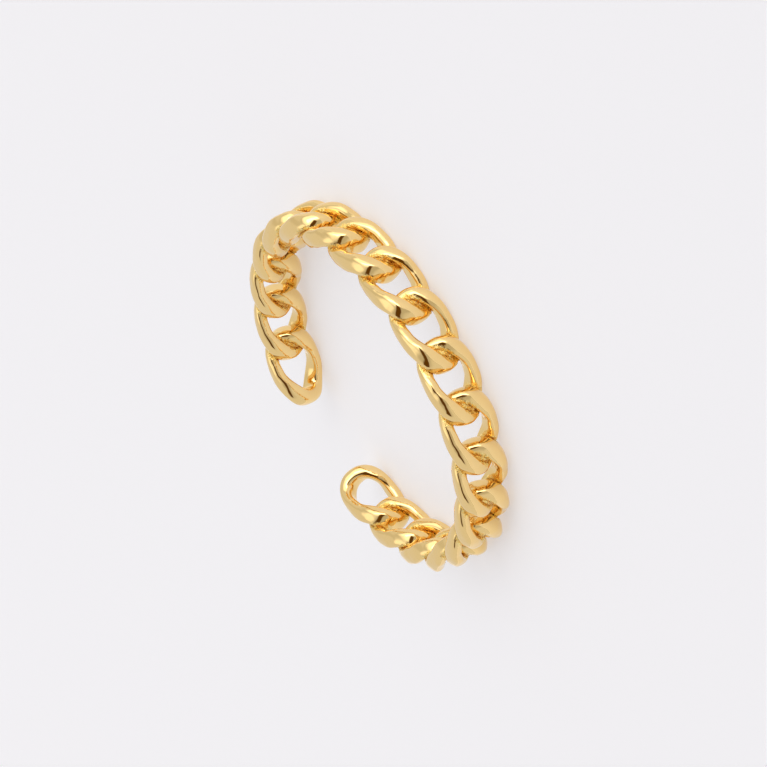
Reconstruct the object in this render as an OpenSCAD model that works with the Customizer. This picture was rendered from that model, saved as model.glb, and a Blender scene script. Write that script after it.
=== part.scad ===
// Open finger ring in the form of a curb chain.
// Flat twisted links interlock all the way round and are soldered where they cross,
// so the band is one stiff solid that stops short of closing.
// The ring lies on its side: its axis is Z, the middle link faces -Y and the opening is at +Y.

/* [Ring] */
// Inner diameter, where the finger goes in
finger_d = 17; // [14:0.1:22]
// Number of links from end to end
link_count = 19; // [13:1:27]
// Gap between the two end links, straight across at the middle of the band's thickness
open_gap = 4.3; // [1:0.1:8]

/* [Band] */
// Width of the band, along the finger
band_w = 2.95; // [2.4:0.05:4.5]
// Thickness of the band, to which the links' raised corners are filed
band_t = 1.75; // [1.5:0.05:2.2]

/* [Links] */
// Thickness of the wire along a link's sides, seen from the front of the link
side_w = 0.64; // [0.4:0.02:0.9]
// Thickness of the wire round a link's ends
end_w = 0.86; // [0.6:0.02:1.1]
// Depth of the wire along a link's sides, from the front of the link to its back
side_h = 1; // [0.7:0.02:1.3]
// Depth of the wire round a link's ends
end_h = 1.2; // [0.9:0.02:1.4]
// How far each end of a link is turned out of its middle, in degrees
twist = 32; // [24:1:44]
// Play between the ends of two links, which the solder fills
link_play = 0.1; // [0:0.02:0.3]

/* [Solder] */
// Thickness of the solder between two links, from the finger outwards
solder_t = 0.7; // [0.4:0.05:1]
// How far the solder's edges lie in from the band's
solder_margin = 0.55; // [0.4:0.05:0.7]

/* [Hidden] */

// Stations round a link, and corners of its wire's section
link_sides = 16;
wire_sides = 6;
// Sides of the solder's round edges
solder_sides = 8;
// Below 1 a link is fuller in its corners than an oval
fullness = 0.85;
// Above 1 the twist gathers towards a link's ends
twist_ease = 1.25;
// Above 1 the wire keeps its side's size further towards a link's ends
swell_ease = 2;
// Angle to either side of a station over which its direction is taken
direction_step = 2;

gold = [0.93, 0.74, 0.36];

// Middle line of the band, and half the width of a link to the middle of its wire
band_r = (finger_d + band_t) / 2;
half_w = (band_w - side_w) / 2;

// How much longer a link is, outside, than the pitch of the links
overreach = 2 * end_w + link_play;

// Pitch of the links along the middle line, once the gap's arc is taken out
gap_arc = 2 * band_r * asin(open_gap / (2 * band_r)) * PI / 180;
pitch = (2 * PI * band_r - gap_arc - overreach) / link_count;

// Half length of a link, to the middle of its wire
half_l = (pitch + end_w + link_play) / 2;

// A link's middle path at angle t, as [along the band, across it, outwards]
function filled(c) = sign(c) * pow(abs(c), fullness);
function turn_at(t) =
    let (toward_end = sin(90 * filled(cos(t))))
    twist * sign(toward_end) * pow(abs(toward_end), twist_ease);
function path_at(t) =
    let (side = half_w * filled(sin(t)), turn = turn_at(t))
    [half_l * filled(cos(t)), side * cos(turn), side * sin(turn)];

// Size of the wire at angle t, from its value at a side to its value at an end
function swell(t, at_side, at_end) =
    at_side + (at_end - at_side) * pow(abs(filled(cos(t))), swell_ease);

function unit(v) = v / norm(v);
function filed(p) = [p[0], p[1], max(-band_t / 2, min(band_t / 2, p[2]))];

// Corners of the wire's section at angle t: flats face the link's hole, ridges its front and back
function section_at(t) =
    let (
        middle = path_at(t),
        ahead = unit(path_at(t + direction_step) - path_at(t - direction_step)),
        turn = turn_at(t),
        upright = [0, -sin(turn), cos(turn)],
        front = unit(upright - (upright * ahead) * ahead),
        side = cross(ahead, front),
        flat_reach = swell(t, side_w, end_w) / 2 / cos(180 / wire_sides),
        ridge_reach = swell(t, side_h, end_h) / 2
    )
    [for (k = [0:wire_sides - 1])
        let (q = (k + 0.5) * 360 / wire_sides)
        filed(middle + flat_reach * cos(q) * side + ridge_reach * sin(q) * front)];

// All corners of a straight link, one section after another
straight_link = [for (i = [0:link_sides - 1]) each section_at(i * 360 / link_sides)];

// Quads between each section and the next, closed round the link
link_faces =
    [for (i = [0:link_sides - 1], k = [0:wire_sides - 1])
        let (
            next_i = (i + 1) % link_sides,
            next_k = (k + 1) % wire_sides,
            a = i * wire_sides + k,
            b = i * wire_sides + next_k,
            c = next_i * wire_sides + next_k,
            d = next_i * wire_sides + k
        )
        each [[a, c, b], [a, d, c]]];

// Angle about Z at a length along the band from the middle of the middle link
function angle_at(along) = -90 - along / band_r * 180 / PI;

// Bends a point of a straight link onto the ring, at a number of pitches from the middle link
function on_ring(p, place) =
    let (angle = angle_at(place * pitch + p[0]), r = band_r + p[2])
    [r * cos(angle), r * sin(angle), p[1] + band_w / 2];

first_place = -(link_count - 1) / 2;

module link(place) {
    polyhedron([for (p = straight_link) on_ring(p, place)], link_faces);
}

// Solder from the middle of one link's end to the middle of the next link's
module solder(place) {
    along = half_l - pitch / 2;
    across = (band_w - solder_t) / 2 - solder_margin;
    rotate(angle_at(place * pitch))
        translate([band_r, 0, band_w / 2])
            hull()
                for (a = [-along, along], c = [-across, across])
                    translate([0, a, c])
                        sphere(d = solder_t, $fn = solder_sides);
}

module chain_band() {
    color(gold)
        union() {
            for (i = [0:link_count - 1])
                link(first_place + i);
            for (i = [0:link_count - 2])
                solder(first_place + i + 0.5);
        }
}

chain_band();
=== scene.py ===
import math

import bmesh
import bpy
import numpy as np
from mathutils import Matrix, Vector, kdtree, noise


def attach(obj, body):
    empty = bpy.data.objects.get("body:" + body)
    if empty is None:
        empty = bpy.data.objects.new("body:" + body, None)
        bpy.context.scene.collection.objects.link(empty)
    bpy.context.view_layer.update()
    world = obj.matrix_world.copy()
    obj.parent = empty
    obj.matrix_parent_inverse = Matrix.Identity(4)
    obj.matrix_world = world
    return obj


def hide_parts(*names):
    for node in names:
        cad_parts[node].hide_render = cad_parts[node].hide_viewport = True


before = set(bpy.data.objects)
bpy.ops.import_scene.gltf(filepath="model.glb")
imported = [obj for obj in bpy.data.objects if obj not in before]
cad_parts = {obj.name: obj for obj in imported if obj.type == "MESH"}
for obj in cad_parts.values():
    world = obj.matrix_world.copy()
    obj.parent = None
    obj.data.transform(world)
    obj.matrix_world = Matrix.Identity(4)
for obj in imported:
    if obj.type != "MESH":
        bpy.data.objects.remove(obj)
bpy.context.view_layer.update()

MM = 0.001

# The band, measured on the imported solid
corners = np.array([v.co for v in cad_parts["chain_band"].data.vertices])
reach = np.hypot(corners[:, 0], corners[:, 1])
BAND_T = reach.max() - reach.min()
BAND_R = (reach.max() + reach.min()) / 2
BAND_W = corners[:, 2].max() - corners[:, 2].min()

# The links, as the solid's, with a rounder wire that is a little less deep
LINK_COUNT = 19
OPEN_GAP = 4.3 * MM
SIDE_W = 0.64 * MM
END_W = 0.86 * MM
SIDE_H = 0.97 * MM
END_H = 1.13 * MM
TWIST = math.radians(33)
LINK_PLAY = 0.1 * MM
# How far the wire itself is rolled at a link's corners, over the link's twist
ROLL = math.radians(10)
# Below 1 a link is fuller in its corners than an oval
FULLNESS = 0.86
# Above 1 the twist gathers towards a link's ends
TWIST_EASE = 1.4
# Above 1 the wire keeps its side's size further towards a link's ends
SWELL_EASE = 2.2
# The rounded section of the wire: 1 is an oval, and towards 0 it turns into a rectangle
SQUARENESS = 0.78
# Over this depth the filed faces run out into the round of the wire
FILE_EDGE = 0.2 * MM

# Resolution: stations round a link, points round its wire, and the angle to either side of a
# station over which its direction is taken
STATIONS = 112
AROUND = 36
DIRECTION_STEP = math.radians(1)

# The solder in each crossing: half its size along the band, across it and outwards, for the
# cushion between the two links' ends and for the drop on it that fills their corners
CUSHION = np.array([0.84, 0.92, 0.37]) * MM
DROP = np.array([0.5, 0.6, 0.56]) * MM
# Below 1 the solder is fuller in its corners than an oval
SOLDER_FULLNESS = 0.7
SOLDER_SUBDIVISIONS = 3

# Seams where the links and the solder meet, bent at least so far, and how far the solder's
# grains and the shade painted into the deepest of them reach
SEAM_ANGLE = math.radians(30)
GRAINS_REACH = 0.3 * MM
PAINTED_SHADE_REACH = 0.07 * MM
RAGGED = 0.1 * MM

# Grains of the solder and of the recesses round it, each with smaller ones on it
GRAIN_SIZE = 0.15 * MM
GRAIN_HEIGHT = 0.055 * MM
FINER = 2.1
FINER_SHARE = 0.5
LEAST_SHARE = 0.02

# Edges bent further than this stay sharp in the shading
SHARP_ANGLE = math.radians(38)

# Tones of the gold, the two that mix in each place, and of the dark brown painted as shade into
# the seams
PLATING = (0.96, 0.70, 0.315, 1), (0.95, 0.675, 0.28, 1)
GRAINS = (0.98, 0.56, 0.09, 1), (1.0, 0.84, 0.34, 1)
PAINTED_SEAM_SHADE = (0.70, 0.34, 0.06, 1)
PLATING_ROUGHNESS = 0.06
GRAINS_ROUGHNESS = 0.13

# Patterns in the gold, in waves per millimetre, and the height of those that are bumps: clouds
# of tone, grains, and the slow waves that polishing leaves
CLOUDS_PER_MM = 1.6
GRAINS_PER_MM = 7
GRAIN_BUMP = 0.12 * MM
WAVES_PER_MM = 1.3
POLISH_WAVES = 0.05 * MM

# The floor, which glows a little so that the ring's shadow stays as pale as in the photograph
FLOOR_SIZE = 3
FLOOR_COLOUR = (0.58, 0.57, 0.58, 1)
FLOOR_ROUGHNESS = 0.6
FLOOR_GLOW = (0.95, 0.95, 1, 1)
FLOOR_GLOW_STRENGTH = 0.42

# The photograph's camera; roll turns the picture, and the ring's centre lies a little off the
# middle of the frame
VIEW_AZIMUTH = -8.06
VIEW_ELEVATION = 22.24
VIEW_ROLL = 117.5
VIEW_DISTANCE = 153.4 * MM
CENTRE_RIGHT = -0.412 * MM
CENTRE_DOWN = 0.188 * MM
LENS = 138.9
FILM_WIDTH = 36
NEAREST, FARTHEST = 0.005, 20

# The studio's colour, and its panels: colour, half width, soft edge, and the directions
# that each reaches from and to as azimuth and elevation
STUDIO_COLOUR = (0.75, 0.75, 0.76, 1)
STUDIO = [
    ((1.25, 1.25, 1.24, 1), 10, 16, (170, 76), (30, 80)),
    ((0.96, 0.96, 0.96, 1), 5, 9, (4, 34), (20, 68)),
    ((0.66, 0.65, 0.63, 1), 4, 10, (68, 14), (84, 56)),
    ((0.66, 0.65, 0.63, 1), 4, 10, (126, 12), (110, 58)),
    ((0.54, 0.53, 0.51, 1), 12, 20, (-112, 60), (-4, 12)),
    ((1.50, 1.50, 1.50, 1), 19, 20, (33, -10), (42, 45)),
    ((3.00, 3.00, 2.92, 1), 6, 4, (20, -5), (36, 42)),
    ((0.11, 0.05, 0.006, 1), 7, 5, (-120, 50), (8, 22)),
]

# Half width of a link to the middle of its wire, pitch of the links, and half their length
HALF_W = (BAND_W - SIDE_W) / 2
GAP_ARC = 2 * BAND_R * math.asin(OPEN_GAP / (2 * BAND_R))
PITCH = (2 * math.pi * BAND_R - GAP_ARC - 2 * END_W - LINK_PLAY) / LINK_COUNT
HALF_L = (PITCH + END_W + LINK_PLAY) / 2


def signed_power(x, power):
    return np.sign(x) * np.abs(x) ** power


def unit(v):
    return v / np.linalg.norm(v, axis=-1, keepdims=True)


def link_path(t):
    """Middle line of a straight link at angles t, its turn, and its share of the way to an end."""
    to_end = signed_power(np.cos(t), FULLNESS)
    to_side = signed_power(np.sin(t), FULLNESS)
    turn = TWIST * signed_power(np.sin(math.pi / 2 * np.clip(to_end, -1, 1)), TWIST_EASE)
    across = HALF_W * to_side * np.cos(turn)
    outward = HALF_W * to_side * np.sin(turn)
    return np.stack([HALF_L * to_end, across, outward], -1), turn, to_end


def filed(w):
    """Heights over the band's middle line, cut off at its faces with a soft edge."""
    start = BAND_T / 2 - FILE_EDGE
    over = np.maximum(np.abs(w) - start, 0)
    eased = start + FILE_EDGE * np.tanh(over / FILE_EDGE)
    return np.sign(w) * np.where(over > 0, eased, np.abs(w))


def straight_link():
    """Points, stations by points round the wire, as [along the band, across it, outwards]."""
    t = np.linspace(0, 2 * math.pi, STATIONS, endpoint=False)
    line, turn, to_end = link_path(t)
    ahead = unit(link_path(t + DIRECTION_STEP)[0] - link_path(t - DIRECTION_STEP)[0])
    front = np.stack([np.zeros(STATIONS), -np.sin(turn), np.cos(turn)], -1)
    front = unit(front - (front * ahead).sum(-1, keepdims=True) * ahead)
    side = np.cross(ahead, front)
    roll = (ROLL * np.sin(2 * t))[:, None]
    side, front = (side * np.cos(roll) + front * np.sin(roll),
                   front * np.cos(roll) - side * np.sin(roll))
    swell = np.abs(to_end) ** SWELL_EASE
    half_wide = ((SIDE_W + (END_W - SIDE_W) * swell) / 2)[:, None, None]
    half_high = ((SIDE_H + (END_H - SIDE_H) * swell) / 2)[:, None, None]
    q = (np.arange(AROUND) + 0.5) * 2 * math.pi / AROUND
    across = signed_power(np.cos(q), SQUARENESS)[None, :, None]
    outward = signed_power(np.sin(q), SQUARENESS)[None, :, None]
    grid = (line[:, None] + side[:, None] * half_wide * across
            + front[:, None] * half_high * outward)
    grid[..., 2] = filed(grid[..., 2])
    return grid


def on_ring(points, place):
    """Bends straight points onto the ring, at a number of pitches from the middle link."""
    angle = -math.pi / 2 - (place * PITCH + points[..., 0]) / BAND_R
    r = BAND_R + points[..., 2]
    return np.stack([r * np.cos(angle), r * np.sin(angle), points[..., 1] + BAND_W / 2], -1)


def ring_of_quads(rows, columns, first):
    """Faces of a grid closed both ways, starting at vertex number first."""
    i, k = np.meshgrid(np.arange(rows), np.arange(columns), indexing="ij")
    a = i * columns + k
    b = i * columns + (k + 1) % columns
    c = (i + 1) % rows * columns + (k + 1) % columns
    d = (i + 1) % rows * columns + k
    return first + np.stack([a, b, c, d], -1).reshape(-1, 4)


def mesh_object(name, points, faces):
    mesh = bpy.data.meshes.new(name)
    mesh.from_pydata(points.tolist(), [], faces.tolist())
    made = bpy.data.objects.new(name, mesh)
    bpy.context.scene.collection.objects.link(made)
    return made


def links(name, places):
    straight = straight_link()
    points = [on_ring(straight, place).reshape(-1, 3) for place in places]
    faces = [ring_of_quads(STATIONS, AROUND, n * STATIONS * AROUND) for n in range(len(points))]
    return mesh_object(name, np.concatenate(points), np.concatenate(faces))


def ball():
    bm = bmesh.new()
    bmesh.ops.create_icosphere(bm, subdivisions=SOLDER_SUBDIVISIONS, radius=1)
    points = np.array([v.co for v in bm.verts])
    faces = np.array([[v.index for v in f.verts] for f in bm.faces])
    bm.free()
    return points, faces


def solder(name, size, places):
    """Rounded blocks of solder, one at each place."""
    directions, faces = ball()
    block = signed_power(directions, SOLDER_FULLNESS) * size
    points = [on_ring(block, place) for place in places]
    # on_ring mirrors, so the faces are turned round to look outwards again
    all_faces = [faces[:, ::-1] + n * len(block) for n in range(len(points))]
    return mesh_object(name, np.concatenate(points), np.concatenate(all_faces))


def fuse(body, *others):
    """Body in one closed mesh with the others, which are used up."""
    for other in others:
        union = body.modifiers.new("fuse", "BOOLEAN")
        union.operation = "UNION"
        union.solver = "MANIFOLD"
        union.object = other
    bpy.context.view_layer.update()
    evaluated = body.evaluated_get(bpy.context.evaluated_depsgraph_get())
    fused = bpy.data.meshes.new_from_object(evaluated)
    body.modifiers.clear()
    fused.materials.clear()
    body.data = fused
    for other in others:
        bpy.data.objects.remove(other)
    return body


def smoothstep(low, high, x):
    s = np.clip((x - low) / (high - low), 0, 1)
    return s * s * (3 - 2 * s)


def vertex_vectors(mesh, name):
    vectors = np.empty(len(mesh.vertices) * 3)
    mesh.vertices.foreach_get(name, vectors)
    return vectors.reshape(-1, 3)


def seam_distance(mesh):
    """Distance of each vertex from the nearest seam, less a ragged amount."""
    bm = bmesh.new()
    bm.from_mesh(mesh)
    bends = [(e.calc_face_angle_signed(0), e.verts) for e in bm.edges]
    seam = sorted({v.index for bend, verts in bends if bend < -SEAM_ANGLE for v in verts})
    bm.free()
    points = vertex_vectors(mesh, "co")
    tree = kdtree.KDTree(len(seam))
    for k in seam:
        tree.insert(points[k], k)
    tree.balance()
    distance = np.array([tree.find(p)[2] for p in points])
    ragged = np.array([noise.noise(Vector(p) / (2 * GRAIN_SIZE)) for p in points])
    return np.maximum(distance + RAGGED * ragged, 0)


def roughen(mesh, share):
    """Raises and sinks the recesses as grains of solder; nothing moves where the share is 0."""
    points = vertex_vectors(mesh, "co")
    normals = vertex_vectors(mesh, "normal")
    for k in np.flatnonzero(share > LEAST_SHARE):
        at = Vector(points[k]) / GRAIN_SIZE
        height = noise.noise(at) + FINER_SHARE * noise.noise(at * FINER)
        points[k] += normals[k] * height * GRAIN_HEIGHT * share[k]
    mesh.vertices.foreach_set("co", points.ravel())


def point_attribute(mesh, name, values):
    attribute = mesh.attributes.new(name, "FLOAT", "POINT")
    attribute.data.foreach_set("value", values.astype(np.float32))


def chain():
    """The ring: every second link, the links between them and the solder, fused into one."""
    half = (LINK_COUNT - 1) / 2
    places = [i - half for i in range(LINK_COUNT)]
    crossings = [p + 0.5 for p in places[:-1]]
    even = links("chain", places[0::2])
    odd = links("odd_links", places[1::2])
    cushions = solder("solder_cushions", CUSHION, crossings)
    drops = solder("solder_drops", DROP, crossings)
    body = fuse(even, odd, cushions, drops)
    mesh = body.data
    distance = seam_distance(mesh)
    recess = 1 - smoothstep(GRAINS_REACH / 3, GRAINS_REACH, distance)
    roughen(mesh, recess)
    point_attribute(mesh, "recess", recess)
    # Painted shade: a mask that is full at the seams and fades out over a short reach, for
    # darkening the gold there
    point_attribute(mesh, "painted_seam_shade", 1 - smoothstep(0, PAINTED_SHADE_REACH, distance))
    mesh.shade_smooth()
    mesh.set_sharp_from_angle(angle=SHARP_ANGLE)
    return body


def mix_colour(tree, factor, first, second):
    """Output of a mix of two colours, each a value or another node's output."""
    mix = tree.nodes.new("ShaderNodeMix")
    mix.data_type = "RGBA"
    mix.clamp_factor = True
    sockets = {s.identifier: s for s in [*mix.inputs, *mix.outputs]}
    tree.links.new(factor, mix.inputs["Factor"])
    for name, colour in (("A_Color", first), ("B_Color", second)):
        if isinstance(colour, tuple):
            sockets[name].default_value = colour
        else:
            tree.links.new(colour, sockets[name])
    return sockets["Result_Color"]


def map_range(tree, value, limits, interpolation="LINEAR"):
    """Output of a map range node whose other sockets take the values in limits."""
    mapped = tree.nodes.new("ShaderNodeMapRange")
    mapped.interpolation_type = interpolation
    for name, limit in limits.items():
        mapped.inputs[name].default_value = limit
    tree.links.new(value, mapped.inputs["Value"])
    return mapped.outputs["Result"]


def attribute_value(tree, name):
    attribute = tree.nodes.new("ShaderNodeAttribute")
    attribute.attribute_name = name
    return attribute.outputs["Fac"]


def millimetres(tree):
    """The object's own coordinates in millimetres."""
    place = tree.nodes.new("ShaderNodeTexCoord")
    in_mm = tree.nodes.new("ShaderNodeVectorMath")
    in_mm.operation = "SCALE"
    in_mm.inputs["Scale"].default_value = 1 / MM
    tree.links.new(place.outputs["Object"], in_mm.inputs[0])
    return in_mm.outputs["Vector"]


def pattern(tree, place, scale, detail, roughness=0.5):
    texture = tree.nodes.new("ShaderNodeTexNoise")
    texture.inputs["Scale"].default_value = scale
    texture.inputs["Detail"].default_value = detail
    texture.inputs["Roughness"].default_value = roughness
    tree.links.new(place, texture.inputs["Vector"])
    return texture.outputs["Fac"]


def gold_material():
    """Polished plating; recess leads over to the solder's grains, and painted shade darkens the
    seams.
    """
    material = bpy.data.materials.new("polished_gold")
    material.use_nodes = True
    tree = material.node_tree
    shader = tree.nodes["Principled BSDF"]
    shader.inputs["Metallic"].default_value = 1
    recess = attribute_value(tree, "recess")
    painted_seam_shade = attribute_value(tree, "painted_seam_shade")
    place = millimetres(tree)
    clouds = pattern(tree, place, CLOUDS_PER_MM, 3)
    grain = pattern(tree, place, GRAINS_PER_MM, 3, 0.6)
    waves = pattern(tree, place, WAVES_PER_MM, 1)

    plain = mix_colour(tree, clouds, *PLATING)
    spots = map_range(tree, grain, {"From Min": 0.4, "From Max": 0.6})
    grains = mix_colour(tree, spots, *GRAINS)
    gold = mix_colour(tree, recess, plain, grains)
    # The seams are painted dark brown as shade, by the mask made in chain()
    tree.links.new(mix_colour(tree, painted_seam_shade, gold, PAINTED_SEAM_SHADE), shader.inputs["Base Color"])

    rough = map_range(tree, recess, {"To Min": PLATING_ROUGHNESS, "To Max": GRAINS_ROUGHNESS})
    tree.links.new(rough, shader.inputs["Roughness"])

    polish = tree.nodes.new("ShaderNodeBump")
    polish.inputs["Strength"].default_value = 1
    polish.inputs["Distance"].default_value = POLISH_WAVES
    tree.links.new(waves, polish.inputs["Height"])
    bump = tree.nodes.new("ShaderNodeBump")
    bump.inputs["Distance"].default_value = GRAIN_BUMP
    tree.links.new(polish.outputs["Normal"], bump.inputs["Normal"])
    tree.links.new(grain, bump.inputs["Height"])
    tree.links.new(recess, bump.inputs["Strength"])
    tree.links.new(bump.outputs["Normal"], shader.inputs["Normal"])
    return material


def floor_material():
    material = bpy.data.materials.new("pale_floor")
    material.use_nodes = True
    shader = material.node_tree.nodes["Principled BSDF"]
    shader.inputs["Base Color"].default_value = FLOOR_COLOUR
    shader.inputs["Roughness"].default_value = FLOOR_ROUGHNESS
    shader.inputs["Emission Color"].default_value = FLOOR_GLOW
    shader.inputs["Emission Strength"].default_value = FLOOR_GLOW_STRENGTH
    return material


def floor():
    bpy.ops.mesh.primitive_plane_add(size=FLOOR_SIZE)
    made = bpy.context.object
    made.name = "floor"
    made.data.materials.append(floor_material())


def direction(azimuth, elevation):
    """Unit vector: azimuth 0 is -Y and 90 is +X, in degrees."""
    azimuth, elevation = math.radians(azimuth), math.radians(elevation)
    return Vector((math.sin(azimuth) * math.cos(elevation),
                   -math.cos(azimuth) * math.cos(elevation),
                   math.sin(elevation)))


def camera(centre):
    """Camera at the photograph's angle to the ring, whose centre is given."""
    back = direction(VIEW_AZIMUTH, VIEW_ELEVATION)
    roll = math.radians(VIEW_ROLL)
    level_right = (-back).cross(Vector((0, 0, 1))).normalized()
    level_down = (-back).cross(level_right)
    right = level_right * math.cos(roll) + level_down * math.sin(roll)
    down = level_down * math.cos(roll) - level_right * math.sin(roll)
    data = bpy.data.cameras.new("camera")
    data.lens = LENS
    data.sensor_width = FILM_WIDTH
    data.clip_start, data.clip_end = NEAREST, FARTHEST
    made = bpy.data.objects.new("camera", data)
    bpy.context.scene.collection.objects.link(made)
    place = centre + back * VIEW_DISTANCE - right * CENTRE_RIGHT - down * CENTRE_DOWN
    turn = Matrix((right, -down, back)).transposed().to_4x4()
    made.matrix_world = Matrix.Translation(place) @ turn
    bpy.context.scene.camera = made


def dot_with(tree, place, axis):
    dot = tree.nodes.new("ShaderNodeVectorMath")
    dot.operation = "DOT_PRODUCT"
    dot.inputs[1].default_value = axis
    tree.links.new(place, dot.inputs[0])
    return dot.outputs["Value"]


def math_node(tree, operation, *values):
    node = tree.nodes.new("ShaderNodeMath")
    node.operation = operation
    for value, socket in zip(values, node.inputs):
        tree.links.new(value, socket)
    return node.outputs["Value"]


def world_panel(tree, place, behind, colour, half_width, edge, start, end):
    """Colour of the studio with one more panel, along the arc from start to end."""
    half_width, edge = math.radians(half_width), math.radians(edge)
    start, end = direction(*start), direction(*end)
    half_length = start.angle(end) / 2
    beside = math_node(tree, "ABSOLUTE", dot_with(tree, place, start.cross(end).normalized()))
    across = map_range(tree, beside, {
        "From Min": math.sin(half_width + edge), "From Max": math.sin(half_width)}, "SMOOTHSTEP")
    ahead = dot_with(tree, place, (start + end).normalized())
    along = map_range(tree, ahead, {
        "From Min": math.cos(half_length + edge), "From Max": math.cos(half_length)}, "SMOOTHSTEP")
    return mix_colour(tree, math_node(tree, "MULTIPLY", across, along), behind, colour)


def studio_world():
    world = bpy.data.worlds.new("studio")
    world.use_nodes = True
    tree = world.node_tree
    place = tree.nodes.new("ShaderNodeTexCoord").outputs["Generated"]
    total = STUDIO_COLOUR
    for panel in STUDIO:
        total = world_panel(tree, place, total, *panel)
    tree.links.new(total, tree.nodes["Background"].inputs["Color"])
    bpy.context.scene.world = world


ring = chain()
ring.data.materials.append(gold_material())
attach(ring, "root")
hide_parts("chain_band")

camera(Vector((0, 0, BAND_W / 2)))
floor()
studio_world()
bpy.context.scene.view_settings.view_transform = "Standard"
